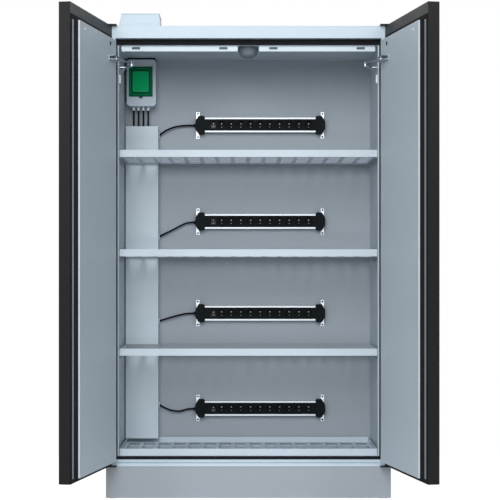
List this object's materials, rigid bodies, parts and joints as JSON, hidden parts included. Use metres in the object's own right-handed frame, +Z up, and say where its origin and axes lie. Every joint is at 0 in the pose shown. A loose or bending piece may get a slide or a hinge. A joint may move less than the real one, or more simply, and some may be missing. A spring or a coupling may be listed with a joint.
{
  "type": "battery charging cabinet",
  "caption": "Fire-resistant double-door cabinet for charging batteries, doors open, with perforated tray shelves, socket strips, cable duct, distribution box, smoke detector and door closers.",
  "frame": {"origin": "on the floor, at the middle of the box round the cabinet with its doors open", "axes": "+Z up, +Y from the doors towards the back wall, +X to the right seen from the front"},
  "size_m": [1.449, 1.165, 2.0443],
  "materials": {
    "body_grey": "satin",
    "frame_white": "satin",
    "liner_grey": "satin",
    "shelf_grey": "satin",
    "duct_grey": "satin",
    "plinth_grey": "satin",
    "door_anthracite": "satin",
    "hinge_black": "satin",
    "rail_white": "satin",
    "fire_board": "matte",
    "seal_black": "matte",
    "cable_black": "satin",
    "zinc_steel": "satin",
    "aluminium": "satin",
    "chrome": "polished",
    "white_plastic": "matte",
    "detector_grey": "matte",
    "box_plastic": "satin",
    "black_plastic": "satin",
    "rocker_black": "gloss",
    "handle_black": "satin",
    "flap_green": "gloss"
  },
  "bodies": {
    "cabinet": {"side_panels": "body_grey", "rear_panel": "body_grey", "roof_panel": "body_grey", "floor_panel": "body_grey", "front_frame": "frame_white", "frame_seal": "seal_black", "insulation_boards": "fire_board", "liner_walls": "liner_grey", "liner_floor_and_ceiling": "liner_grey", "base_frame": "plinth_grey", "plinth_cover": "plinth_grey", "levelling_feet": "zinc_steel", "sump_tray": "shelf_grey", "sump_grating": "shelf_grey", "shelf_upper": "shelf_grey", "shelf_middle": "shelf_grey", "shelf_lower": "shelf_grey", "shelf_supports": "liner_grey", "cable_duct": "duct_grey", "cable_glands": "white_plastic", "supply_tails": "cable_black", "distribution_box": "box_plastic", "earth_leakage_breaker": "white_plastic", "ceiling_rails": "rail_white", "smoke_detector": "detector_grey", "door_contacts": "white_plastic", "strip_profiles": "aluminium", "strip_sockets": "black_plastic", "strip_end_caps": "black_plastic", "strip_brackets": "zinc_steel", "power_lead_1": "cable_black", "power_lead_2": "cable_black", "power_lead_3": "cable_black", "power_lead_4": "cable_black", "roof_junction_box": "frame_white", "exhaust_spigot": "body_grey", "hinge_plates": "hinge_black", "closer_brackets": "zinc_steel"},
    "door_left": {"door_skin_left": "door_anthracite", "door_core_left": "fire_board", "door_seal_left": "seal_black", "door_panel_left": "frame_white", "door_fittings_left": "zinc_steel"},
    "door_right": {"door_skin_right": "door_anthracite", "door_core_right": "fire_board", "door_seal_right": "seal_black", "door_panel_right": "frame_white", "door_fittings_right": "zinc_steel"},
    "lever_left": {"closer_lever_left": "zinc_steel"},
    "lever_right": {"closer_lever_right": "zinc_steel"},
    "link_left": {"closer_link_left": "zinc_steel"},
    "link_right": {"closer_link_right": "zinc_steel"},
    "flap": {"box_flap": "flap_green"},
    "toggle": {"breaker_toggle": "black_plastic"},
    "switch_1": {"rocker_1": "rocker_black"},
    "switch_2": {"rocker_2": "rocker_black"},
    "switch_3": {"rocker_3": "rocker_black"},
    "switch_4": {"rocker_4": "rocker_black"},
    "handle": {"door_handle": "handle_black"},
    "lock": {"lock_cylinder": "chrome"}
  },
  "joints": [
    {"name": "door_left_hinge", "type": "hinge", "parent": "cabinet", "child": "door_left", "pos_m": [-0.5865, -0.00546, 1.06], "axis": [0, 0, 1], "range_deg": [-10, 100.5]},
    {"name": "closer_lever_left_pivot", "type": "hinge", "parent": "cabinet", "child": "lever_left", "pos_m": [-0.5325, 0.11454, 1.814], "axis": [0, 0, 1], "range_deg": [-10, 100.5]},
    {"name": "closer_link_left_pivot", "type": "hinge", "parent": "lever_left", "child": "link_left", "pos_m": [-0.48983, 0.01001, 1.826], "axis": [0, 0, 1], "range_deg": [-100.5, 10]},
    {"name": "door_right_hinge", "type": "hinge", "parent": "cabinet", "child": "door_right", "pos_m": [0.5865, -0.00546, 1.06], "axis": [0, 0, -1], "range_deg": [-10, 100.5]},
    {"name": "closer_lever_right_pivot", "type": "hinge", "parent": "cabinet", "child": "lever_right", "pos_m": [0.5325, 0.11454, 1.814], "axis": [0, 0, -1], "range_deg": [-10, 100.5]},
    {"name": "closer_link_right_pivot", "type": "hinge", "parent": "lever_right", "child": "link_right", "pos_m": [0.48983, 0.01001, 1.826], "axis": [0, 0, -1], "range_deg": [-100.5, 10]},
    {"name": "box_flap_hinge", "type": "hinge", "parent": "cabinet", "child": "flap", "pos_m": [-0.4785, 0.43224, 1.866], "axis": [-1, 0, 0], "range_deg": [0, 100]},
    {"name": "breaker_toggle_pivot", "type": "hinge", "parent": "cabinet", "child": "toggle", "pos_m": [-0.4785, 0.47294, 1.8005], "axis": [1, 0, 0], "range_deg": [0, 60]},
    {"name": "rocker_1_pivot", "type": "hinge", "parent": "cabinet", "child": "switch_1", "pos_m": [-0.1555, 0.50654, 1.614], "axis": [1, 0, 0], "range_deg": [-16, 0]},
    {"name": "rocker_2_pivot", "type": "hinge", "parent": "cabinet", "child": "switch_2", "pos_m": [-0.1555, 0.50654, 1.179], "axis": [1, 0, 0], "range_deg": [-16, 0]},
    {"name": "rocker_3_pivot", "type": "hinge", "parent": "cabinet", "child": "switch_3", "pos_m": [-0.1555, 0.50654, 0.765], "axis": [1, 0, 0], "range_deg": [-16, 0]},
    {"name": "rocker_4_pivot", "type": "hinge", "parent": "cabinet", "child": "switch_4", "pos_m": [-0.1555, 0.50654, 0.336], "axis": [1, 0, 0], "range_deg": [-16, 0]},
    {"name": "door_handle_pivot", "type": "hinge", "parent": "door_right", "child": "handle", "pos_m": [0.70333, -0.48215, 1.04], "axis": [0, 0, 1], "range_deg": [0, 35]},
    {"name": "lock_cylinder_turn", "type": "hinge", "parent": "door_right", "child": "lock", "pos_m": [0.69625, -0.50431, 0.942], "axis": [-0.9833, -0.1822, 0], "range_deg": [0, 90]}
  ],
  "couplings": [
    {"joint": "closer_lever_left_pivot", "follows": "door_left_hinge", "ratio": 1},
    {"joint": "closer_link_left_pivot", "follows": "door_left_hinge", "ratio": -1},
    {"joint": "closer_lever_right_pivot", "follows": "door_right_hinge", "ratio": 1},
    {"joint": "closer_link_right_pivot", "follows": "door_right_hinge", "ratio": -1}
  ]
}
